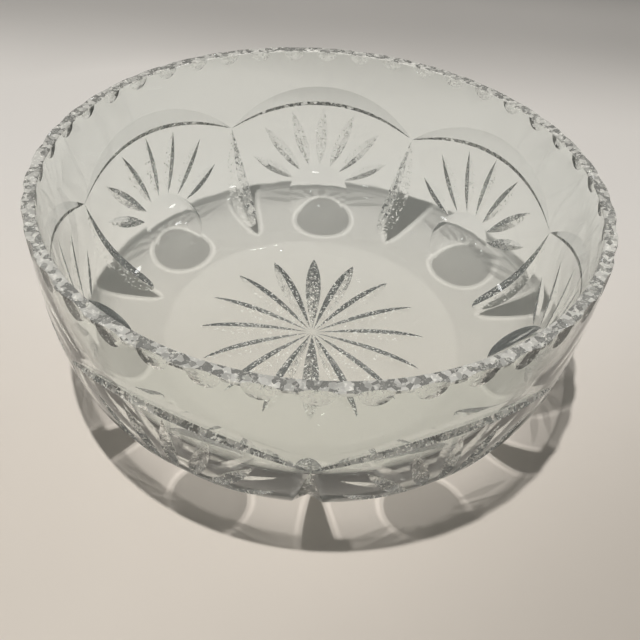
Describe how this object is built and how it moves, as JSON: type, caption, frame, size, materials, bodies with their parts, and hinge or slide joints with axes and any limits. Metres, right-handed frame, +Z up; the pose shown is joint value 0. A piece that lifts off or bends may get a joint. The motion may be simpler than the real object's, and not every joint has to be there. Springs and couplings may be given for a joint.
{
  "type": "punch bowl",
  "caption": "Round cut-crystal bowl with a flat base, upright wall, arched panels of fan cuts, leaf cuts at the heel, a star under the base and a thumb-cut rim.",
  "frame": {"origin": "centre of the flat underside that the bowl stands on", "axes": "+Z up along the bowl's axis, +Y towards the middle of one panel (the pattern is turned 1.5 degrees from it)"},
  "size_m": [0.23, 0.23, 0.095],
  "materials": {
    "crystal": "polished"
  },
  "bodies": {
    "root": {"bowl": "crystal"}
  },
  "joints": []
}
